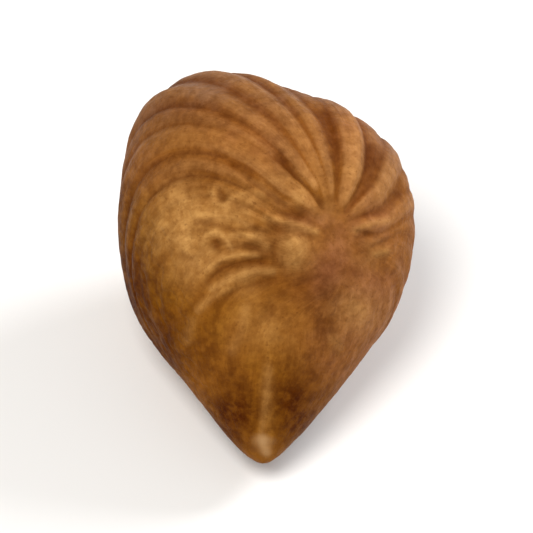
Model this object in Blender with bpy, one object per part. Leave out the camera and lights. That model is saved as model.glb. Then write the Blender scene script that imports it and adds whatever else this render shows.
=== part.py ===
"""Hazelnut kernel: one shelled raw nut in its ridged brown skin, lying on its side.

Metres, +Z up. The kernel lies on its cheek with the tip forward and down, towards -Y, and the scar that its
ridges fan out from looks up and forward. The origin is at the middle of its box, on the surface it lies on.
"""

import cmath
import math

import bmesh
import bpy
from mathutils import Vector, noise

# Driving sizes
WIDTH = 0.0124  # across the belly
THICKNESS = 0.0118  # front to back
BELLY_LENGTH = 0.0134  # along the tip's line, before the blunt end is pressed in
TIP_REACH = 0.0100  # from the middle of the belly to the tip
REST_SPOT = 0.0028  # across the small flat that it lies on
VIEWER_ELEVATION_DEG = 47  # places are named as a viewer in front sees them from this height


def facing(seen_deg, towards_viewer_deg):
    """The way to a place as seen from the front: 0 is right and 90 up, then turned towards the viewer."""
    seen, towards = math.radians(seen_deg), math.radians(towards_viewer_deg)
    elevation = math.radians(VIEWER_ELEVATION_DEG)
    up, out = math.sin(seen) * math.cos(towards), math.sin(towards)
    back = up * math.sin(elevation) - out * math.cos(elevation)
    rise = up * math.cos(elevation) + out * math.sin(elevation)
    return Vector((math.cos(seen) * math.cos(towards), back, rise))


TIP = facing(-90, 19)
SCAR = facing(5, 61)
DOWN = Vector((0, 0, -1))

# Where the form stands out from the belly, or sinks below it: way, height, spread in degrees
LOBES = (
    (facing(118, -8), 0.00204, 27),  # high shoulder
    (facing(43, 10), 0.00097, 30),  # low shoulder
    (facing(84, -20), -0.00152, 36),  # blunt end, pressed in
    (facing(140, -50), 0.00030, 30),  # back of the high shoulder
    (facing(-20, -62), 0.00035, 30),  # back
    (facing(165, -10), -0.00046, 28),  # flank below the high shoulder
    (facing(200, 40), -0.00022, 26),  # flatter front cheek
    (facing(-23, 74), 0.00018, 5),  # bump beside the scar
    (SCAR, -0.00020, 8),  # dimple of the scar
    (Vector((-0.28, 0, -1)).normalized(), -0.00023, 20),  # cheek that it lies on
    (facing(-80, -35), -0.00032, 18),  # and the underside from there to the tip
)
TIP_ROUNDING_DEG = 3.4
SWELL = 0.00014  # slow unevenness of the whole form
SWELLS_ACROSS = 1.3  # how many of its waves fit in the belly's half width

# Ridges in the skin: turn round the scar in degrees, how far from the scar each one starts, and its height
# and breadth beside the usual ones. Those that start further out lie between others that have spread apart.
RIDGES = (
    (2, 0.0056, 0.7, 1.0),
    (17, 0.0007, 0.9, 0.8),
    (31, 0.0007, 0.95, 0.8),
    (46, 0.0012, 0.95, 0.95),
    (59, 0.0034, 0.8, 0.85),
    (70, 0.0006, 1.3, 1.05),
    (84, 0.0013, 0.8, 0.85),
    (96, 0.0016, 0.7, 0.85),
    (107, 0.0024, 0.7, 0.9),
    (118, 0.0030, 0.6, 0.9),
    (129, 0.0034, 0.7, 0.9),
    (140, 0.0038, 0.6, 1.0),
    (152, 0.0034, 0.8, 1.0),
    (166, 0.0038, 0.7, 1.0),
    (180, 0.0034, 0.6, 1.1),
    (194, 0.0038, 0.8, 1.0),
    (208, 0.0034, 0.7, 1.0),
    (221, 0.0036, 0.9, 0.9),
    (234, 0.0030, 0.8, 1.0),
    (248, 0.0026, 0.7, 1.0),
    (261, 0.0018, 0.7, 0.9),
    (274, 0.0008, 1.0, 1.0),
    (289, 0.0042, 0.8, 0.95),
    (303, 0.0006, 1.2, 1.0),
    (325, 0.0042, 0.8, 1.2),
    (346, 0.0006, 1.3, 1.1),
)
RIDGE_HEIGHT = 0.00020  # crest over valley
RIDGE_SPACING = 0.00132  # away from the scar
SPREADING_REACH = 0.0034  # how far from the scar the ridges are almost as broad as that
HALF_BREADTH = 0.57  # of a ridge, in spacings: above 0.5, so that neighbours meet in a crease
RISING_REACH = 0.0011  # a ridge rises over this length from its start
COLUMNS_PER_RIDGE = 4
RINGS = 50
WANDER_DEG = 5  # how far a ridge strays round the scar
UPPER_TURN_DEG = 20  # the way the ridges lean, straight up and back from the scar
LEAN = 6  # and how strongly: their turns spread apart there towards the scar
LEAN_SHARES = (0.19, 0.5)  # of the way to the tip, between which the leaning ends
UNEVENNESS = 0.8  # how much stronger or weaker a ridge can get along its way
WAVES_ROUND = 2.2  # how often ridges stray and change strength, round the scar
WAVES_ALONG = 3.5  # and along their way
STRAY_LAYER = 0  # where each of the two is taken from the noise
STRENGTH_LAYER = 20
SCAR_FADE_DEG = (3, 12)  # ridges rise between these angles from the scar
TIP_FADE_DEG = (12, 65)  # and between these from the tip
MID_RELIEF = 0.45  # this much of a ridge's height is sunk in the form

# Places where the ridges are weaker: way, how much of them is lost, spread in degrees
QUIET = (
    (facing(-75, 45), 0.75, 26),  # smooth front between the scar and the tip
    (facing(-35, 30), 0.75, 26),
    (facing(180, 50), 0.80, 16),  # smooth cheek
    (facing(75, -5), 0.20, 26),  # blunt end
    (facing(8, -12), 0.60, 20),  # right flank
    (facing(90, -80), 0.35, 50),  # back
    (DOWN, 1, 24),
)

SKIN_COLOUR = (0.305, 0.117, 0.024, 1)
SKIN_ROUGHNESS = 0.55
SHARP_EDGE_DEG = 60
LEVEL_STEP = 0.000002  # how finely the flat's height is searched


def clear_scene():
    for obj in list(bpy.data.objects):
        bpy.data.objects.remove(obj, do_unlink=True)


def smooth(share):
    share = min(1, max(0, share))
    return share * share * (3 - 2 * share)


def bump(way, centre, spread_deg):
    """1 at the centre, falling to 0 over the spread, for two unit vectors."""
    return math.exp(-((way.angle(centre) / math.radians(spread_deg)) ** 2) / 2)


def ramp(way, centre, angles_deg):
    """0 up to the first angle from the centre, 1 from the second on."""
    low, high = angles_deg
    return smooth((math.degrees(way.angle(centre)) - low) / (high - low))


def tip_gain(way):
    """Draws the belly out to the tip along a straight flank that leaves it at a tangent."""
    rounding = math.radians(TIP_ROUNDING_DEG)
    flank = math.acos(BELLY_LENGTH / 2 / TIP_REACH) + rounding
    off_axis = math.hypot(way.angle(TIP), rounding)
    return 1 / math.cos(max(0, flank - off_axis))


def form_radius(way):
    """Distance from the belly's middle to the smooth form, without its ridges."""
    across = way.x / WIDTH
    through = way.dot(TIP.cross(Vector((1, 0, 0)))) / THICKNESS
    along = way.dot(TIP) / BELLY_LENGTH
    radius = 0.5 / Vector((across, through, along)).length
    radius += sum(height * bump(way, centre, spread) for centre, height, spread in LOBES)
    return (radius + SWELL * noise.noise(way * SWELLS_ACROSS)) * tip_gain(way)


class RidgeGrid:
    """Lines that leave the scar in every direction and meet again at the tip, as the veins of the skin do.

    They are the circles through two points of a ball, so a turn round the scar and a share of the way
    to the tip name each place on it. Equal turns are equally far apart half way along.
    """

    def __init__(self):
        self.middle = (TIP + SCAR).normalized()
        self.towards_scar = (SCAR - TIP).normalized()
        self.across = self.middle.cross(self.towards_scar)
        self.pole = math.tan(TIP.angle(SCAR) / 4)

    def way(self, turn, share):
        half = (turn - math.pi) / 2
        leaving = math.pi + 2 * math.atan2(math.sin(half), self.pole * math.cos(half))
        reach = math.tan(share * math.pi / 2) * cmath.exp(1j * leaving)
        top, bottom = self.pole * (1 + reach), 1 - reach
        flat = top * bottom.conjugate()
        depth = abs(bottom) ** 2 - abs(top) ** 2
        sideways = 2 * flat.real * self.towards_scar + 2 * flat.imag * self.across
        return (sideways + depth * self.middle).normalized()


def breadth(grid, turn, share):
    """Distance between two ridges there for each radian of turn, on a ball of the belly's size."""
    step = math.radians(1)
    before, after = (grid.way(t + stray(t, share), share) for t in (turn - step, turn + step))
    return WIDTH / 2 * before.angle(after) / (2 * step)


def ridge_relief(grid, turn, share, way):
    """Height of the skin's ridges over the smooth form: rounded crests that meet in creases."""
    from_scar = WIDTH / 2 * way.angle(SCAR)
    half = HALF_BREADTH * RIDGE_SPACING * math.tanh(from_scar / SPREADING_REACH)
    scale = breadth(grid, turn, share)
    relief = 0
    for ridge_deg, start, height, broadness in RIDGES:
        away = scale * math.remainder(turn - math.radians(ridge_deg), 2 * math.pi)
        rise = smooth((from_scar - start) / RISING_REACH)
        relief = max(relief, height * rise * (1 - (away / half / broadness) ** 2))
    strength = RIDGE_HEIGHT * ramp(way, SCAR, SCAR_FADE_DEG) * ramp(way, TIP, TIP_FADE_DEG)
    strength *= 1 + UNEVENNESS * drift(2 * turn, share, STRENGTH_LAYER)
    for centre, lost, spread in QUIET:
        strength *= 1 - lost * bump(way, centre, spread)
    return strength * (relief - MID_RELIEF)


def drift(turn, share, layer):
    """A slow random value of about -0.6 to 0.6 that changes round the scar and along the ridges."""
    round_it = WAVES_ROUND * Vector((math.cos(turn), math.sin(turn), 0))
    return noise.noise(round_it + Vector((0, 0, WAVES_ALONG * share + layer)))


def stray(turn, share):
    """How far the ridge of that turn lies off its line of the grid, in radians."""
    start, end = LEAN_SHARES
    off_middle = end - min(end, max(start, share))
    lean = LEAN * off_middle**2 * math.sin(turn - math.radians(UPPER_TURN_DEG))
    return lean + math.radians(WANDER_DEG) * drift(turn, share, STRAY_LAYER)


def column_turns():
    """The turns of the mesh's lines: on every crest, and between it and the next one."""
    crests = [math.radians(ridge[0]) for ridge in RIDGES]
    crests.append(crests[0] + 2 * math.pi)
    shares = [k / COLUMNS_PER_RIDGE for k in range(COLUMNS_PER_RIDGE)]
    return [here + share * (there - here) for here, there in zip(crests, crests[1:]) for share in shares]


def kernel_mesh():
    """Rings of points along the ridge lines, from the scar to the tip."""
    grid = RidgeGrid()
    turns = column_turns()
    columns = len(turns)
    body = bmesh.new()

    def pole(way):
        return body.verts.new(way * form_radius(way))

    def ring(share):
        around = []
        for turn in turns:
            way = grid.way(turn + stray(turn, share), share)
            height = form_radius(way) + ridge_relief(grid, turn, share, way)
            around.append(body.verts.new(way * height))
        return around

    rings = [ring(k / RINGS) for k in range(1, RINGS)]
    scar, tip = pole(SCAR), pole(TIP)
    for before, after in zip(rings, rings[1:]):
        for k in range(columns):
            n = (k + 1) % columns
            body.faces.new((before[k], before[n], after[n], after[k]))
    for k in range(columns):
        n = (k + 1) % columns
        body.faces.new((scar, rings[0][n], rings[0][k]))
        body.faces.new((tip, rings[-1][k], rings[-1][n]))
    return body


def cut_rest_spot(body):
    """Levels the lowest bit of the cheek to a flat of the stated size."""
    level = min(v.co.z for v in body.verts)
    across = 0
    while across < REST_SPOT:
        level += LEVEL_STEP
        below = [v.co for v in body.verts if v.co.z < level]
        across = max((a - b).length for a in below for b in below)
    everything = body.verts[:] + body.edges[:] + body.faces[:]
    bmesh.ops.bisect_plane(body, geom=everything, plane_co=(0, 0, level), plane_no=DOWN, clear_outer=True)
    rim = [edge for edge in body.edges if edge.is_boundary]
    bmesh.ops.contextual_create(body, geom=rim)
    bmesh.ops.recalc_face_normals(body, faces=body.faces)


def set_on_origin(body):
    corners = [[pick(v.co[i] for v in body.verts) for i in range(3)] for pick in (min, max)]
    low, high = (Vector(c) for c in corners)
    shift = Vector((-(low.x + high.x) / 2, -(low.y + high.y) / 2, -low.z))
    bmesh.ops.translate(body, vec=shift, verts=body.verts)


def skin_material():
    skin = bpy.data.materials.new("skin")
    skin.use_nodes = True
    shader = skin.node_tree.nodes["Principled BSDF"]
    shader.inputs["Base Color"].default_value = SKIN_COLOUR
    shader.inputs["Roughness"].default_value = SKIN_ROUGHNESS
    shader.inputs["Metallic"].default_value = 0
    return skin


def main():
    clear_scene()
    body = kernel_mesh()
    cut_rest_spot(body)
    set_on_origin(body)
    mesh = bpy.data.meshes.new("kernel")
    body.to_mesh(mesh)
    body.free()
    mesh.shade_smooth()
    mesh.set_sharp_from_angle(angle=math.radians(SHARP_EDGE_DEG))
    mesh.materials.append(skin_material())
    kernel = bpy.data.objects.new("kernel", mesh)
    bpy.context.scene.collection.objects.link(kernel)


main()
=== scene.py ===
import math

import bpy
import numpy as np
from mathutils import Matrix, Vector, noise


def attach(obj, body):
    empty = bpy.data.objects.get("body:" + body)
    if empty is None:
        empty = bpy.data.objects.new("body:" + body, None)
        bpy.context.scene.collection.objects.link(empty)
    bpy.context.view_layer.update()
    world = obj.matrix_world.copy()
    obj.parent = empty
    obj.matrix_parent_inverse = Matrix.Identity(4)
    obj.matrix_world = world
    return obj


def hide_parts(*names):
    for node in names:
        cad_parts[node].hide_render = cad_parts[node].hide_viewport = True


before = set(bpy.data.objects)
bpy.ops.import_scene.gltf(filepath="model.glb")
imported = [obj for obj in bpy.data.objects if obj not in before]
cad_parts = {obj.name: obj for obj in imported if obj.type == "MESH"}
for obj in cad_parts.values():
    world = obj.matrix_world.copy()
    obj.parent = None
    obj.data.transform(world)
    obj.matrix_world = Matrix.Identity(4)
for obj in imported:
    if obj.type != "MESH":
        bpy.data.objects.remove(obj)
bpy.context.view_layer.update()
scene = bpy.context.scene
print("frame loaded")

# The kernel's own form, as its solid has it, in metres and degrees
kernel = {
    "middle": (-0.0001724, 0.0012794, 0.0057065),  # of the belly, where every way starts
    "halfWidth": 0.0062,
    "seenFrom": 47,  # places are named as seen from the front at this height
    "tip": (-90, 19),
    "scar": (5, 61),
    "ridgeSpacing": 0.00132,
    "spreadingReach": 0.0034,  # from the scar, where the ridges near their full breadth
    "halfBreadth": 0.57,  # of a ridge, beside the spacing
    "risingReach": 0.0011,  # from a ridge's start to its full height
    "wander": 5,
    "upperTurn": 20,
    "lean": 6,
    "leanShares": (0.19, 0.5),
    "settlingRounds": 4,
    "unevenness": 0.8,
    "wavesRound": 2.2,
    "wavesAlong": 3.5,
    "strayLayer": 0,
    "strengthLayer": 20,
    "scarFade": (3, 12),
    "tipFade": (12, 65),
    "flatSpread": 24,
}

# Ridges: turn round the scar, start from the scar in mm, height and breadth beside the usual ones
ridges = (
    (2, 5.6, 0.7, 1.0), (17, 0.7, 0.9, 0.8), (31, 0.7, 0.95, 0.8), (46, 1.2, 0.95, 0.95),
    (59, 3.4, 0.8, 0.85), (70, 0.6, 1.3, 1.05), (84, 1.3, 0.8, 0.85), (96, 1.6, 0.7, 0.85),
    (107, 2.4, 0.7, 0.9), (118, 3.0, 0.6, 0.9), (129, 3.4, 0.7, 0.9), (140, 3.8, 0.6, 1.0),
    (152, 3.4, 0.8, 1.0), (166, 3.8, 0.7, 1.0), (180, 3.4, 0.6, 1.1), (194, 3.8, 0.8, 1.0),
    (208, 3.4, 0.7, 1.0), (221, 3.6, 0.9, 0.9), (234, 3.0, 0.8, 1.0), (248, 2.6, 0.7, 1.0),
    (261, 1.8, 0.7, 0.9), (274, 0.8, 1.0, 1.0), (289, 4.2, 0.8, 0.95), (303, 0.6, 1.2, 1.0),
    (325, 4.2, 0.8, 1.2), (346, 0.6, 1.3, 1.1),
)

# Quieter places: where, how much of the ridges is lost, spread
quietPlaces = (
    ((-75, 45), 0.75, 26),
    ((-35, 30), 0.75, 26),
    ((180, 50), 0.80, 16),
    ((75, -5), 0.20, 26),
    ((8, -12), 0.60, 20),
    ((90, -80), 0.35, 50),
)


def facing(seenDeg, towardsDeg):
    # 0 is right and 90 up, then turned towards the viewer
    seen, towards, height = (math.radians(a) for a in (seenDeg, towardsDeg, kernel["seenFrom"]))
    up, out = math.sin(seen) * math.cos(towards), math.sin(towards)
    back = up * math.sin(height) - out * math.cos(height)
    rise = up * math.cos(height) + out * math.sin(height)
    return np.array((math.cos(seen) * math.cos(towards), back, rise))


def unit(ways):
    return ways / np.linalg.norm(ways, axis=-1, keepdims=True)


def angleDeg(ways, centre):
    return np.degrees(np.arccos(np.clip(ways @ centre, -1, 1)))


def spot(ways, centre, spreadDeg):
    # 1 at the centre, falling to 0 over the spread
    return np.exp(-((angleDeg(ways, centre) / spreadDeg) ** 2) / 2)


def ramp(value, low, high):
    share = np.clip((value - low) / (high - low), 0, 1)
    return share * share * (3 - 2 * share)


def shareOf(shares, value):
    # a steady share and one that grows with the value
    steady, growing = shares
    return steady + growing * value


def noiseAt(points, scale=1.0, layer=0.0):
    # smooth noise of about -0.6 to 0.6
    moved = points * scale + np.array((0.0, 0.0, layer))
    return np.array([noise.noise(p) for p in moved.tolist()])


tipWay = facing(*kernel["tip"])
scarWay = facing(*kernel["scar"])
downWay = np.array((0.0, 0.0, -1.0))
middleWay = unit(tipWay + scarWay)
scarSide = unit(scarWay - tipWay)
acrossWay = np.cross(middleWay, scarSide)
poleReach = math.tan(math.acos(tipWay @ scarWay) / 4)
nearNothing = 1e-9  # keeps a division by nought away


def veinWay(turn, share):
    # the way to a place named by its turn round the scar and its share of the vein to the tip
    half = (turn - math.pi) / 2
    leaving = math.pi + 2 * np.arctan2(np.sin(half), poleReach * np.cos(half))
    reach = np.tan(share * math.pi / 2) * np.exp(1j * leaving)
    flat = poleReach * (1 + reach) * np.conj(1 - reach)
    depth = abs(1 - reach) ** 2 - abs(poleReach * (1 + reach)) ** 2
    sideways = 2 * np.outer(flat.real, scarSide) + 2 * np.outer(flat.imag, acrossWay)
    return unit(sideways + np.outer(depth, middleWay))


def veinPlace(ways):
    # the other way round: turn and share of each way
    place = (ways @ scarSide + 1j * (ways @ acrossWay)) / (1 + ways @ middleWay + nearNothing) / poleReach
    reach = (place - 1) / (place + 1 + nearNothing)
    half = (np.angle(reach) - math.pi) / 2
    turn = math.pi + 2 * np.arctan2(poleReach * np.sin(half), np.cos(half))
    return turn, np.arctan(abs(reach)) * 2 / math.pi


def drift(turn, share, layer):
    ring = kernel["wavesRound"]
    along = kernel["wavesAlong"] * share + layer
    return noiseAt(np.stack((ring * np.cos(turn), ring * np.sin(turn), along), axis=1))


def leanAt(turn, share):
    # how far the ridges lean off the lines of the grid towards the scar, and how that changes with the turn
    start, end = kernel["leanShares"]
    amount = kernel["lean"] * (end - np.clip(share, start, end)) ** 2
    off = turn - math.radians(kernel["upperTurn"])
    return amount * np.sin(off), amount * np.cos(off)


def ridgesAt(ways):
    # turn and share of the veins, how wide a radian of turn is there,
    # how high the ridges stand from 0 to about 1, and how strong they are
    seenTurn, share = veinPlace(ways)
    wander = math.radians(kernel["wander"])
    turn = seenTurn
    for _ in range(kernel["settlingRounds"]):
        strayed = wander * drift(turn, share, kernel["strayLayer"])
        for _ in range(kernel["settlingRounds"]):
            lean, steepness = leanAt(turn, share)
            turn = turn - (turn + lean + strayed - seenTurn) / (1 + steepness)
    step = math.radians(1)
    before, after = (
        veinWay(near + leanAt(near, share)[0] + strayed, share) for near in (turn - step, turn + step)
    )
    scale = kernel["halfWidth"] * np.arccos(np.clip((before * after).sum(axis=1), -1, 1)) / (2 * step)
    fromScar = kernel["halfWidth"] * np.radians(angleDeg(ways, scarWay))
    half = kernel["halfBreadth"] * kernel["ridgeSpacing"] * np.tanh(fromScar / kernel["spreadingReach"])
    half = half + nearNothing
    raised = np.zeros(len(ways))
    for ridgeDeg, startMm, height, breadth in ridges:
        off = (turn - math.radians(ridgeDeg) + math.pi) % (2 * math.pi) - math.pi
        rise = ramp(fromScar - startMm / 1000, 0, kernel["risingReach"])
        raised = np.maximum(raised, height * rise * (1 - (scale * off / half / breadth) ** 2))
    strength = ramp(angleDeg(ways, scarWay), *kernel["scarFade"])
    strength = strength * ramp(angleDeg(ways, tipWay), *kernel["tipFade"])
    strength = strength * (1 + kernel["unevenness"] * drift(2 * turn, share, kernel["strengthLayer"]))
    for place, lost, spread in quietPlaces:
        strength = strength * (1 - lost * spot(ways, facing(*place), spread))
    return turn, share, scale, raised, strength * (1 - spot(ways, downWay, kernel["flatSpread"]))


def pickOnly(obj):
    for other in bpy.context.selected_objects:
        other.select_set(False)
    if obj:
        obj.select_set(True)
        bpy.context.view_layer.objects.active = obj


def applyModifier(obj, kind, **values):
    modifier = obj.modifiers.new(kind.title(), kind)
    for name, value in values.items():
        setattr(modifier, name, value)
    pickOnly(obj)
    bpy.ops.object.modifier_apply(modifier=modifier.name)


def coordsOf(obj):
    coords = np.empty(3 * len(obj.data.vertices))
    obj.data.vertices.foreach_get("co", coords)
    return coords.reshape(-1, 3)


def setCoords(obj, coords):
    obj.data.vertices.foreach_set("co", np.ascontiguousarray(coords).ravel())
    obj.data.update()


def paint(obj, name, values):
    # one number or three for every point of the mesh, for the material to read
    single = values.ndim == 1
    layer = obj.data.attributes.new(name, "FLOAT" if single else "FLOAT_VECTOR", "POINT")
    flat = np.ascontiguousarray(values, dtype=np.float32).ravel()
    layer.data.foreach_set("value" if single else "vector", flat)


# The fine skin: a ball of even faces drawn onto a smoothed copy of the solid, then worked over.
# Sizes are in metres, spreads in degrees, and each layer is a slice of the same noise
skin = {
    "guideLevels": 2,
    "joinReach": 0.000001,
    "ballRadius": 0.013,
    "firstCuts": 7,
    "secondCuts": 15,
    "fanPlace": (65, 35),  # where the ridges show most
    "fanSpread": 45,
    "fanShares": (0.6, 0.4),
    "hubFade": (0.0006, 0.0018),
    "creaseSharpness": 3,
    "creaseDepth": 0.00006,
    "crestHeight": 0.00004,
    "strandWaves": (16, 16, 8),
    "strandFade": (0.001, 0.004),  # strands fade where they would crowd together
    "strandShares": (0.4, 0.6),
    "strandHeight": 0.000045,
    "lumpSize": 0.0013,
    "lumpHeight": 0.00004,
    "grainSize": 0.00040,
    "grainLayer": 7,
    "grainHeight": 0.000014,
    "wrinkleSize": 0.0008,
    "wrinkleLayer": 13,
    "wrinkleBreadth": 0.18,
    "wrinklePlaces": (((178, 55), 20), ((-122, 32), 25)),
    "wrinkleShares": (0.15, 0.85),
    "wrinkleDepth": 0.00005,
    "bandPlace": (-72, 55),
    "bandSpreads": (8, 9),
    "bandHeight": 0.00003,
    "flatFade": (0.0, 0.0006),
    "raisedHighlight": 12,  # share of the painted highlight for every mm that a mark stands up
    # share of the painted shade for every mm that a mark is sunk
    "sunkShade": 10,
}

# The bare spot at the tip: the skin is worn off there. In mm, as seen from the front
tipSpot = {
    "place": (0.0, -8.6),
    "breadth": 0.9,
    "fade": (0.05, 0.65),
    "depthFade": (2.4, 3.2),  # keeps it off the underside
    "edgeSize": 0.0005,
    "edgeLayer": 31,
    "edgeShare": 0.3,
    "strength": 0.85,
    "stepHeight": 0.00003,
}

# Marks in the skin, drawn in mm right and up of the belly's middle as seen from the front:
# points, height in mm (below 0 a groove), breadth in mm
strokes = (
    # arches between the cheek and the bump
    (((-2.25, -1.75), (-1.65, -1.2), (-0.67, -1.0), (0.1, -0.98)), -0.085, 0.16),
    (((-2.05, -2.1), (-1.26, -1.62), (-0.28, -1.33), (0.4, -1.35)), 0.08, 0.17),
    (((-1.5, -2.45), (-0.47, -1.9), (0.5, -1.75)), -0.08, 0.15),
    (((-2.7, -3.0), (-2.15, -2.45), (-1.46, -2.05)), 0.05, 0.18),
    (((-2.3, -1.25), (-1.7, -0.8), (-0.9, -0.66), (-0.2, -0.68)), 0.08, 0.14),
    (((0.55, -0.1), (0.45, -0.5), (0.6, -1.0), (0.95, -1.25)), -0.07, 0.14),
    (((1.25, -0.1), (1.38, -0.45), (1.3, -0.75)), 0.11, 0.36),
    # pits, curls and waves on the cheek
    (((-1.75, 1.95), (-1.6, 1.75), (-1.7, 1.6)), -0.11, 0.16),
    (((-2.1, 1.9), (-2.0, 1.55), (-1.5, 1.42), (-1.25, 1.7)), 0.06, 0.14),
    (((-1.98, -0.15), (-1.9, -0.35)), -0.12, 0.17),
    (((-2.8, 0.7), (-2.05, 0.6), (-1.26, 0.4), (-0.9, 0.1)), -0.07, 0.12),
    (((-2.9, 1.0), (-2.2, 0.95), (-1.2, 0.85), (-0.5, 0.5)), 0.06, 0.15),
    (((-2.5, -0.2), (-2.3, 0.2), (-1.8, 0.25), (-1.5, 0.0), (-1.3, -0.4)), 0.09, 0.13),
    (((-1.3, 0.1), (-0.7, 0.15), (-0.1, -0.05), (0.2, -0.3)), 0.08, 0.14),
    (((-1.4, -0.4), (-0.7, -0.3), (-0.2, -0.4)), -0.08, 0.11),
    (((-1.1, 0.4), (-0.3, 0.4), (0.3, 0.2)), -0.05, 0.11),
    (((-1.2, 1.6), (-0.6, 1.9), (0.0, 1.8)), 0.05, 0.15),
    (((-1.0, 1.25), (-0.3, 1.4), (0.4, 1.1)), -0.05, 0.12),
    (((-3.2, 2.0), (-2.6, 2.25), (-2.2, 2.1)), -0.05, 0.14),
    (((-3.4, -0.6), (-2.9, -0.9), (-2.7, -1.4)), -0.05, 0.15),
    (((-3.9, 1.4), (-3.3, 1.5), (-2.7, 1.35)), 0.05, 0.15),
    (((-3.0, 0.2), (-2.7, 0.35), (-2.3, 0.3)), -0.05, 0.12),
    # lines that lead from the cheek to the scar
    (((0.1, 0.85), (1.3, 0.62), (2.2, 0.3)), 0.06, 0.15),
    (((0.5, 0.35), (1.4, 0.2), (2.1, 0.05)), -0.06, 0.13),
    (((1.7, 0.95), (0.6, 1.55), (-0.5, 2.4), (-1.3, 3.1)), -0.09, 0.16),
    # streaks of the lower part
    (((-0.67, -2.9), (-0.87, -3.9), (-1.26, -4.65)), 0.035, 0.22),
    (((-2.9, -3.4), (-3.1, -4.2)), 0.03, 0.22),
    (((0.3, -2.8), (0.35, -3.1)), -0.05, 0.18),
    (((-0.2, -4.2), (-0.25, -5.0)), -0.03, 0.18),
    (((0.3, -5.4), (0.05, -7.2), (-0.05, -8.2)), 0.03, 0.13),
    (((-1.0, -6.2), (-0.7, -7.4)), -0.025, 0.16),
    (((1.3, -5.8), (0.8, -7.2)), -0.025, 0.16),
    # the side right of the scar
    (((3.9, 0.35), (4.6, 0.65), (5.2, 0.75)), 0.05, 0.16),
    (((4.0, 0.0), (4.7, 0.2), (5.3, 0.3)), -0.05, 0.12),
    (((4.7, -0.35), (5.3, -0.1)), -0.05, 0.11),
    (((4.75, -0.65), (5.15, -0.55)), 0.06, 0.16),
    (((3.8, -2.8), (4.1, -3.0)), 0.03, 0.30),
    (((3.0, -4.2), (3.2, -4.5)), 0.03, 0.28),
)

# Soft patches of tone, in mm right and up of the belly's middle: place, half width, half height, amount.
# Some of them lay painted shade, painted highlight and painted sheen, as marked below
patches = {
    # dark: darker skin, and painted shade along the left edge and round the tip
    "dark": (
        (-5.9, -2.6, 1.4, 2.4, 1.15), (-4.4, -4.6, 1.1, 1.7, 0.95), (-2.3, -4.8, 0.6, 1.1, 0.6),
        (-1.4, -5.9, 0.6, 0.8, 0.6), (1.7, -5.4, 0.9, 0.6, 0.6), (-1.2, -7.4, 1.0, 1.3, 1.1),
        (1.3, -7.2, 0.9, 1.3, 1.1), (2.4, -6.4, 0.7, 0.6, 0.5), (-5.9, 1.2, 0.6, 1.8, 0.7),
        (0.0, -5.9, 0.7, 0.4, 0.35), (2.5, 0.2, 0.5, 0.5, 0.25), (3.6, -1.6, 0.35, 1.2, 0.3),
        (-5.2, 3.0, 0.8, 1.2, 0.35), (2.9, 3.6, 0.35, 1.4, 0.55), (4.4, 2.9, 0.3, 1.0, 0.4),
        (0.9, 3.6, 0.5, 1.2, 0.45), (2.7, -3.0, 0.5, 1.5, 0.6), (-1.2, 5.5, 2.5, 0.5, 0.3),
        (0.55, 1.75, 0.4, 0.25, 0.3), (-3.0, 3.0, 2.2, 0.5, 0.3), (-2.3, 5.0, 1.8, 0.3, 0.35),
    ),
    # light: paler skin, and a painted highlight on the cheek and on the bump right of the middle
    "light": (
        (-3.4, 0.5, 1.1, 1.2, 1.0), (-2.9, -0.9, 0.9, 0.8, 0.8), (-1.6, 1.3, 1.6, 0.7, 0.6),
        (-0.4, -0.1, 1.1, 0.5, 0.6), (1.35, -0.4, 0.5, 0.6, 1.0), (0.1, -3.7, 1.1, 0.9, 0.3),
        (-0.9, -1.7, 0.9, 0.6, 0.35), (0.2, -6.4, 0.2, 1.3, 0.35), (4.6, -0.6, 0.5, 0.5, 0.4),
        (3.8, 2.8, 0.3, 1.2, 0.15), (0.9, 2.3, 0.9, 0.4, 0.3), (3.9, -3.0, 0.8, 0.7, 0.45),
        (2.3, 1.4, 0.5, 0.5, 0.25), (5.0, 2.2, 0.4, 0.6, 0.25), (1.55, 1.7, 0.3, 0.5, 0.45),
    ),
    # pink: the skin's own pinkish brown, and painted sheen along the right side
    "pink": (
        (2.9, -1.2, 0.9, 1.6, 0.75), (4.2, -2.4, 1.2, 1.8, 0.8), (4.6, 0.4, 1.0, 1.5, 0.6),
        (-4.9, 2.6, 1.2, 1.1, 0.6), (-2.2, 4.6, 2.6, 1.2, 0.35), (3.9, 4.6, 1.4, 1.0, 0.5),
        (2.9, -4.4, 1.0, 1.1, 0.55), (0.6, 3.9, 1.6, 1.0, 0.3), (2.2, 0.6, 0.9, 0.5, 0.6),
    ),
    "gold": (
        (-5.1, 0.3, 1.2, 1.8, 1.0), (-4.8, -2.2, 1.4, 1.6, 1.0), (-3.4, -3.8, 0.9, 1.3, 0.65),
        (-1.6, -3.4, 1.3, 1.2, 0.45), (0.2, -5.3, 1.3, 1.2, 0.5), (-3.6, 4.3, 1.5, 0.6, 0.4),
        (0.0, -7.4, 1.3, 1.2, 0.6),
    ),
    # painted sheen along the top and the right rims
    "grey": (
        (-2.6, 6.6, 2.6, 0.9, 0.85), (-5.0, 5.4, 1.2, 0.9, 0.6), (1.8, 6.3, 2.2, 0.7, 0.7),
        (5.2, 4.0, 0.6, 1.4, 0.5),
    ),
}

# Marks and patches fade out round the sides over these mm of depth
strokeFade = (0, 1)
patchFade = (-2.5, 0)


def makeGuide(node):
    guide = bpy.data.objects.new("guide", node.data.copy())
    scene.collection.objects.link(guide)
    pickOnly(guide)
    bpy.ops.object.mode_set(mode="EDIT")
    bpy.ops.mesh.select_all(action="SELECT")
    bpy.ops.mesh.remove_doubles(threshold=skin["joinReach"])
    bpy.ops.mesh.tris_convert_to_quads()
    bpy.ops.object.mode_set(mode="OBJECT")
    applyModifier(guide, "SUBSURF", levels=skin["guideLevels"], render_levels=skin["guideLevels"])
    return guide


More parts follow.
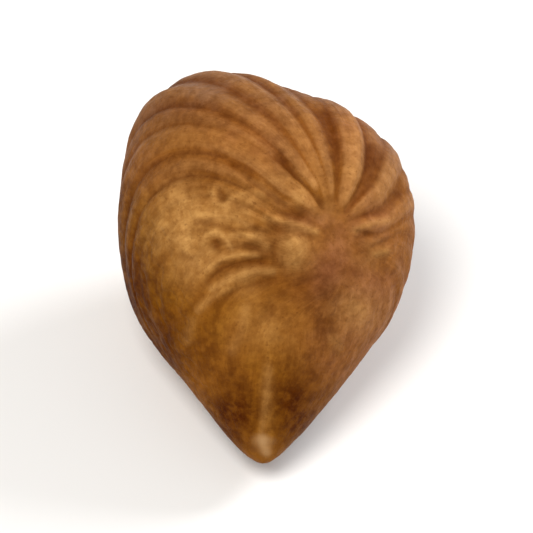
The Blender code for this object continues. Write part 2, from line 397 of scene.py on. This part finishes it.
def makeBall():
    pickOnly(None)
    bpy.ops.mesh.primitive_cube_add(size=2 * skin["ballRadius"], location=kernel["middle"])
    ball = bpy.context.object
    ball.name = "kernelSkin"
    ball.data.name = "kernelSkin"
    bpy.ops.object.transform_apply(location=True, rotation=True, scale=True)
    bpy.ops.object.mode_set(mode="EDIT")
    bpy.ops.mesh.select_all(action="SELECT")
    bpy.ops.mesh.subdivide(number_cuts=skin["firstCuts"])
    bpy.ops.mesh.subdivide(number_cuts=skin["secondCuts"])
    bpy.ops.object.mode_set(mode="OBJECT")
    middle = np.array(kernel["middle"])
    off = (coordsOf(ball) - middle) / skin["ballRadius"]
    even = np.tan(off * math.pi / 4)  # so the faces near a cube's corners aren't smaller
    setCoords(ball, middle + skin["ballRadius"] * unit(even))
    return ball


guide = makeGuide(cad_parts["kernel"])
skinPiece = makeBall()
applyModifier(skinPiece, "SHRINKWRAP", target=guide, wrap_method="PROJECT", wrap_mode="ON_SURFACE",
              use_negative_direction=True, use_positive_direction=False)
bpy.data.objects.remove(guide, do_unlink=True)
print("skin drawn onto the kernel:", len(skinPiece.data.polygons), "faces")

middle = np.array(kernel["middle"])
coords = coordsOf(skinPiece)
ways = unit(coords - middle)
turn, share, scale, raised, strength = ridgesAt(ways)
veins = np.stack((np.cos(turn), np.sin(turn), share), axis=1)
notCrowded = ramp(scale, *skin["strandFade"])

# each point's place in mm as seen from the front
viewRight = 1000 * (coords - middle) @ facing(0, 0)
viewUp = 1000 * (coords - middle) @ facing(90, 0)
viewOut = 1000 * (coords - middle) @ facing(0, 90)


def strokeAt(points, breadth):
    # 1 on the line, falling to 0 over its breadth
    best = np.zeros(len(coords))
    for (x0, y0), (x1, y1) in zip(points, points[1:]):
        long = (x1 - x0) ** 2 + (y1 - y0) ** 2
        along = np.clip(((viewRight - x0) * (x1 - x0) + (viewUp - y0) * (y1 - y0)) / long, 0, 1)
        off = np.hypot(viewRight - x0 - along * (x1 - x0), viewUp - y0 - along * (y1 - y0))
        best = np.maximum(best, np.exp(-((off / breadth) ** 2)))
    return best * ramp(viewOut, *strokeFade)


def patchAt(name):
    # the patches of one tone, fading out round the sides
    total = np.zeros(len(coords))
    for right, up, wide, high, amount in patches[name]:
        off = ((viewRight - right) / wide) ** 2 + ((viewUp - up) / high) ** 2
        total = np.maximum(total, amount * np.exp(-off / 2))
    return total * ramp(viewOut, *patchFade)


strands = noiseAt(veins * np.array(skin["strandWaves"])) * notCrowded
lumps = noiseAt(coords, 1 / skin["lumpSize"])
grain = noiseAt(coords, 1 / skin["grainSize"], skin["grainLayer"])
wrinkles = abs(noiseAt(coords, 1 / skin["wrinkleSize"], skin["wrinkleLayer"]))
wrinkles = ramp(skin["wrinkleBreadth"] - wrinkles, 0, skin["wrinkleBreadth"])
wrinkled = np.clip(sum(spot(ways, facing(*place), spread) for place, spread in skin["wrinklePlaces"]), 0, 1)

# a low band runs down from the scar
bandWay = facing(*skin["bandPlace"])
upperSpread, lowerSpread = skin["bandSpreads"]
band = np.clip(spot(ways, unit(scarWay + bandWay), upperSpread) + spot(ways, bandWay, lowerSpread), 0, 1)

tipRight, tipUp = tipSpot["place"]
fromTip = np.hypot((viewRight - tipRight) / tipSpot["breadth"], viewUp - tipUp)
fromTip = fromTip + tipSpot["edgeShare"] * noiseAt(coords, 1 / tipSpot["edgeSize"], tipSpot["edgeLayer"])
bare = tipSpot["strength"] * (1 - ramp(fromTip, *tipSpot["fade"])) * ramp(viewOut, *tipSpot["depthFade"])

tones = {name: patchAt(name) for name in patches}
raisedMarks = np.zeros(len(coords))
sunkMarks = np.zeros(len(coords))
for points, height, breadth in strokes:
    mark = strokeAt(points, breadth)
    if height > 0:
        raisedMarks = np.maximum(raisedMarks, mark * height)
    else:
        sunkMarks = np.maximum(sunkMarks, -mark * height)

# the ridges' contrast fades at the scar's hub and is strongest in the fan above it
fan = spot(ways, facing(*skin["fanPlace"]), skin["fanSpread"])
fromScar = kernel["halfWidth"] * np.radians(angleDeg(ways, scarWay))
contrast = np.clip(strength, 0, 1) * ramp(fromScar, *skin["hubFade"]) * shareOf(skin["fanShares"], fan)
creases = np.clip(1 - raised, 0, 1) ** skin["creaseSharpness"] * contrast

relief = skin["crestHeight"] * raised * strength - skin["creaseDepth"] * creases
relief = relief + (raisedMarks - sunkMarks) / 1000
relief = relief + skin["strandHeight"] * strands * shareOf(skin["strandShares"], strength)
relief = relief + skin["lumpHeight"] * lumps + skin["grainHeight"] * grain
relief = relief - skin["wrinkleDepth"] * wrinkles * shareOf(skin["wrinkleShares"], wrinkled)
relief = relief + skin["bandHeight"] * band - tipSpot["stepHeight"] * bare
relief = relief * ramp(coords[:, 2], *skin["flatFade"])  # the flat it lies on stays flat
coords = coords + ways * relief[:, None]
coords[:, 2] = np.maximum(coords[:, 2], 0)
setCoords(skinPiece, coords)
print("ridges, strands and marks worked in")

paint(skinPiece, "ridge", np.stack((np.clip(raised, 0, 1), contrast, creases), axis=1))
paint(skinPiece, "veins", veins)
# marks lighter where they stand up and darker where sunk: painted highlight and painted shade
drawn = (skin["raisedHighlight"] * raisedMarks, skin["sunkShade"] * sunkMarks, notCrowded)
paint(skinPiece, "drawn", np.stack(drawn, axis=1))
paint(skinPiece, "shades", np.stack((tones["dark"], tones["light"], tones["grey"]), axis=1))
paint(skinPiece, "tints", np.stack((tones["pink"], tones["gold"], bare), axis=1))

pickOnly(skinPiece)
bpy.ops.object.shade_smooth()
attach(skinPiece, "root")
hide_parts("kernel")
print("skin painted with its places")

# Colours of the skin, before the light; valley, dark, light, pink and the sheen colour also stand in for
# light as painted shade, painted highlight and painted sheen
colours = {
    # valley: the darker furrows, also laid on as painted shade in grooves and creases
    "valley": (0.150, 0.038, 0.001, 1),
    "flank": (0.260, 0.086, 0.007, 1),
    "crest": (0.465, 0.212, 0.060, 1),
    "plain": (0.305, 0.112, 0.013, 1),
    # dark: darker skin, also painted shade along the left edge and round the tip
    "dark": (0.085, 0.018, 0.000, 1),
    # light: paler skin, also laid on as painted highlight on the cheek, the bump and raised marks
    "light": (0.700, 0.380, 0.120, 1),
    # pink: pinkish skin, also painted sheen along the right side
    "pink": (0.380, 0.152, 0.068, 1),
    "gold": (0.310, 0.120, 0.002, 1),
    # painted sheen on the top and right rims
    "grey": (0.270, 0.138, 0.075, 1),
    "flesh": (0.470, 0.275, 0.120, 1),
    "pore": (0.110, 0.028, 0.003, 1),
    "mottled": (0.64, 0.54, 0.42, 1),  # this and the next three are multiplied in
    "speckled": (0.64, 0.57, 0.47, 1),
    "streaked": (0.74, 0.66, 0.56, 1),
    "hairy": (0.70, 0.62, 0.54, 1),
}

# Noises: scale, detail and roughness, and for those along the veins how they are stretched and twisted
placeNoises = ((800, 5, 0.62), (1800, 4, 0.65), (3000, 4, 0.6), (7000, 3, 0.55))
veinNoises = ((1, 5, 0.62, (14, 14, 6), 0.5), (1, 3, 0.6, (46, 46, 12), 0.8))

# How the looks are laid on: a plain share, or a range of the noise or height and what it turns into
looks = {
    "straying": 0.9,
    "valleyToFlank": (0.1, 0.5),
    "flankToCrest": (0.5, 0.95),
    "blotches": (0.35, 0.65, 0.55, 1.25),
    "tints": 0.85,
    "stainsAndShade": (0.30, 0.68, 0.60, 1.0),
    "drawnHighlight": 0.55,
    "drawnShade": 0.55,
    "creases": 0.8,
    "mottled": (0.36, 0.66, 0.0, 0.5),
    "speckled": (0.35, 0.65, 0.0, 0.5),
    "poreSizes": (0.58, 0.74),
    "pores": 0.4,
    "streaked": (0.38, 0.60, 0.0, 0.42),
    "hairy": (0.35, 0.65, 0.0, 0.3),
    "roughness": (0.2, 0.9, 0.60, 0.46),
    "roughnessSpread": 0.25,
    "specular": 0.03,
    "bumpStrength": 0.7,
    "bumpDistance": 0.00011,
    "bumpShares": (0.35, 0.8, 0.3),
}


def addNode(tree, kind, **settings):
    # the nodes stand in rows of twelve, left of the shader
    node = tree.nodes.new(kind)
    row, column = divmod(len(tree.nodes), 12)
    node.location = (190 * column - 2600, 700 - 280 * row)
    for name, value in settings.items():
        setattr(node, name, value)
    return node


def feed(tree, socket, value):
    # a socket takes a link, or a plain number or colour
    if isinstance(value, (int, float, tuple)):
        socket.default_value = value
    else:
        tree.links.new(value, socket)


def readThree(tree, name):
    source = addNode(tree, "ShaderNodeAttribute", attribute_name=name)
    split = addNode(tree, "ShaderNodeSeparateXYZ")
    tree.links.new(source.outputs["Vector"], split.inputs[0])
    return split.outputs


def addNoise(tree, vector, scale, detail, roughness, stretch=None, twist=0.0):
    if stretch:
        mapping = addNode(tree, "ShaderNodeMapping")
        mapping.inputs["Scale"].default_value = stretch
        tree.links.new(vector, mapping.inputs["Vector"])
        vector = mapping.outputs["Vector"]
    texture = addNode(tree, "ShaderNodeTexNoise")
    names = ("Vector", "Scale", "Detail", "Roughness", "Distortion")
    for name, value in zip(names, (vector, scale, detail, roughness, twist)):
        feed(tree, texture.inputs[name], value)
    return texture.outputs["Fac"]


def between(tree, value, low, high, toLow=0.0, toHigh=1.0):
    node = addNode(tree, "ShaderNodeMapRange", interpolation_type="SMOOTHSTEP")
    names = ("Value", "From Min", "From Max", "To Min", "To Max")
    for name, number in zip(names, (value, low, high, toLow, toHigh)):
        feed(tree, node.inputs[name], number)
    return node.outputs["Result"]


def maths(tree, operation, a, b):
    node = addNode(tree, "ShaderNodeMath", operation=operation)
    feed(tree, node.inputs[0], a)
    feed(tree, node.inputs[1], b)
    return node.outputs[0]


def times(tree, a, b):
    return maths(tree, "MULTIPLY", a, b)


def offMiddle(tree, noiseRead):
    # how far a noise is above or below its middle
    return maths(tree, "SUBTRACT", noiseRead, 0.5)


def mixColour(tree, factor, a, b, blend="MIX"):
    node = addNode(tree, "ShaderNodeMix", data_type="RGBA", blend_type=blend)
    feed(tree, node.inputs["Factor"], factor)
    feed(tree, node.inputs[6], a)
    feed(tree, node.inputs[7], b)
    return node.outputs[2]


def makeSkinMaterial():
    material = bpy.data.materials.new("kernelSkin")
    material.use_nodes = True
    tree = material.node_tree
    shader = tree.nodes["Principled BSDF"]
    place = addNode(tree, "ShaderNodeTexCoord").outputs["Object"]
    veinsRead = addNode(tree, "ShaderNodeAttribute", attribute_name="veins").outputs["Vector"]
    raisedRead, contrastRead, creaseDarkAndShadeRead = readThree(tree, "ridge")
    drawnHighlight, drawnShade, notCrowdedRead = readThree(tree, "drawn")
    darkAndShadeRead, lightAndHighlightRead, paintedSheenRead = readThree(tree, "shades")
    pinkAndSheenRead, goldRead, bareRead = readThree(tree, "tints")

    patchy, mottle, speckle, fine = (addNoise(tree, place, *values) for values in placeNoises)
    streaks, hairs = (addNoise(tree, veinsRead, *values) for values in veinNoises)

    # ridges: dark creases, brown flanks and golden crests, broken up along the veins; the dark of the
    # valleys and creases is partly the skin's own and partly painted shade
    stray = times(tree, offMiddle(tree, streaks), looks["straying"])
    height = maths(tree, "ADD", raisedRead, times(tree, stray, notCrowdedRead))
    toFlank = between(tree, height, *looks["valleyToFlank"])
    ridgy = mixColour(tree, toFlank, colours["valley"], colours["flank"])
    ridgy = mixColour(tree, between(tree, height, *looks["flankToCrest"]), ridgy, colours["crest"])
    colour = mixColour(tree, contrastRead, colours["plain"], ridgy)

    # soft patches of tone, each broken up by blotches; the pink and light patches are partly painted sheen
    # and painted highlight, the rim patches wholly painted sheen
    blotch = between(tree, patchy, *looks["blotches"])
    for read, name in ((pinkAndSheenRead, "pink"), (goldRead, "gold"), (lightAndHighlightRead, "light"), (paintedSheenRead, "grey")):
        share = times(tree, times(tree, read, blotch), looks["tints"])
        colour = mixColour(tree, share, colour, colours[name])
    # dark patches mottled like stains; along the left edge and round the tip they are painted shade
    stainedAndShaded = times(tree, darkAndShadeRead, between(tree, mottle, *looks["stainsAndShade"]))
    colour = mixColour(tree, stainedAndShaded, colour, colours["dark"])

    # lines drawn, lighter where they stand up as painted highlight and darker where sunk as painted shade,
    # creases darkened partly as painted shade, then speckles, pores and the fine hairs along the veins
    colour = mixColour(tree, times(tree, drawnHighlight, looks["drawnHighlight"]), colour, colours["light"])
    colour = mixColour(tree, times(tree, drawnShade, looks["drawnShade"]), colour, colours["valley"])
    # the creases darkened once more: partly the skin's own darker furrows, partly painted shade
    colour = mixColour(tree, times(tree, creaseDarkAndShadeRead, looks["creases"]), colour, colours["valley"])
    for value, name in ((mottle, "mottled"), (speckle, "speckled")):
        colour = mixColour(tree, between(tree, value, *looks[name]), colour, colours[name], "MULTIPLY")
    pores = times(tree, between(tree, fine, *looks["poreSizes"]), looks["pores"])
    colour = mixColour(tree, pores, colour, colours["pore"])
    for value, name in ((streaks, "streaked"), (hairs, "hairy")):
        share = times(tree, between(tree, value, *looks[name]), notCrowdedRead)
        colour = mixColour(tree, share, colour, colours[name], "MULTIPLY")
    colour = mixColour(tree, bareRead, colour, colours["flesh"])
    tree.links.new(colour, shader.inputs["Base Color"])

    rough = between(tree, height, *looks["roughness"])
    rough = maths(tree, "ADD", rough, times(tree, offMiddle(tree, speckle), looks["roughnessSpread"]))
    tree.links.new(rough, shader.inputs["Roughness"])
    shader.inputs["Specular IOR Level"].default_value = looks["specular"]

    bump = addNode(tree, "ShaderNodeBump")
    bump.inputs["Strength"].default_value = looks["bumpStrength"]
    bump.inputs["Distance"].default_value = looks["bumpDistance"]
    layers = [times(tree, *pair) for pair in zip((hairs, speckle, fine), looks["bumpShares"])]
    fineHeight = maths(tree, "ADD", maths(tree, "ADD", layers[0], layers[1]), layers[2])
    tree.links.new(fineHeight, bump.inputs["Height"])
    tree.links.new(bump.outputs["Normal"], shader.inputs["Normal"])
    return material


skinPiece.data.materials.clear()
skinPiece.data.materials.append(makeSkinMaterial())
print("skin material made")

# Floor, light and camera
studio = {
    "floorSize": 3.0,
    "floorColour": (0.86, 0.855, 0.845, 1),
    "floorRoughness": 0.9,
    "worldColour": (1.0, 1.0, 1.0, 1),
    "worldStrength": 0.38,
    "keyPlace": (-0.06, -0.09, 0.21),
    "keySize": 0.12,
    "keyPower": 0.445,
    "keyColour": (1.0, 0.97, 0.93),
    "rimPlace": (0.16, 0.10, 0.13),
    "rimSize": 0.10,
    "rimPower": 0.40,
    "rimColour": (0.97, 0.98, 1.0),
    "lens": 480,
    "clipStart": 0.001,
    "clipEnd": 10,
    "lookAt": (0.0, -0.0004, 0.0058),
    "cameraReach": 0.30,
}

pickOnly(None)
bpy.ops.mesh.primitive_plane_add(size=studio["floorSize"], location=(0, 0, 0))
floor = bpy.context.object
floor.name = "floor"
floorPaint = bpy.data.materials.new("floorPaint")
floorPaint.use_nodes = True
floorShader = floorPaint.node_tree.nodes["Principled BSDF"]
floorShader.inputs["Base Color"].default_value = studio["floorColour"]
floorShader.inputs["Roughness"].default_value = studio["floorRoughness"]
floor.data.materials.append(floorPaint)

world = bpy.data.worlds.new("studio")
world.use_nodes = True
world.node_tree.nodes["Background"].inputs["Color"].default_value = studio["worldColour"]
world.node_tree.nodes["Background"].inputs["Strength"].default_value = studio["worldStrength"]
scene.world = world


def aimAt(obj, target):
    obj.rotation_euler = (Vector(target) - obj.location).to_track_quat("-Z", "Y").to_euler()


for name in ("key", "rim"):
    bpy.ops.object.light_add(type="AREA", location=studio[name + "Place"])
    lamp = bpy.context.object
    lamp.name = name + "Light"
    lamp.data.shape = "DISK"
    lamp.data.size = studio[name + "Size"]
    lamp.data.energy = studio[name + "Power"]
    lamp.data.color = studio[name + "Colour"]
    aimAt(lamp, studio["lookAt"])

elevation = math.radians(kernel["seenFrom"])
awayWay = Vector((0, -math.cos(elevation), math.sin(elevation)))
bpy.ops.object.camera_add(location=Vector(studio["lookAt"]) + studio["cameraReach"] * awayWay)
camera = bpy.context.object
camera.data.lens = studio["lens"]
camera.data.clip_start = studio["clipStart"]
camera.data.clip_end = studio["clipEnd"]
aimAt(camera, studio["lookAt"])
scene.camera = camera
scene.view_settings.view_transform = "Standard"
print("floor, lights and camera placed")
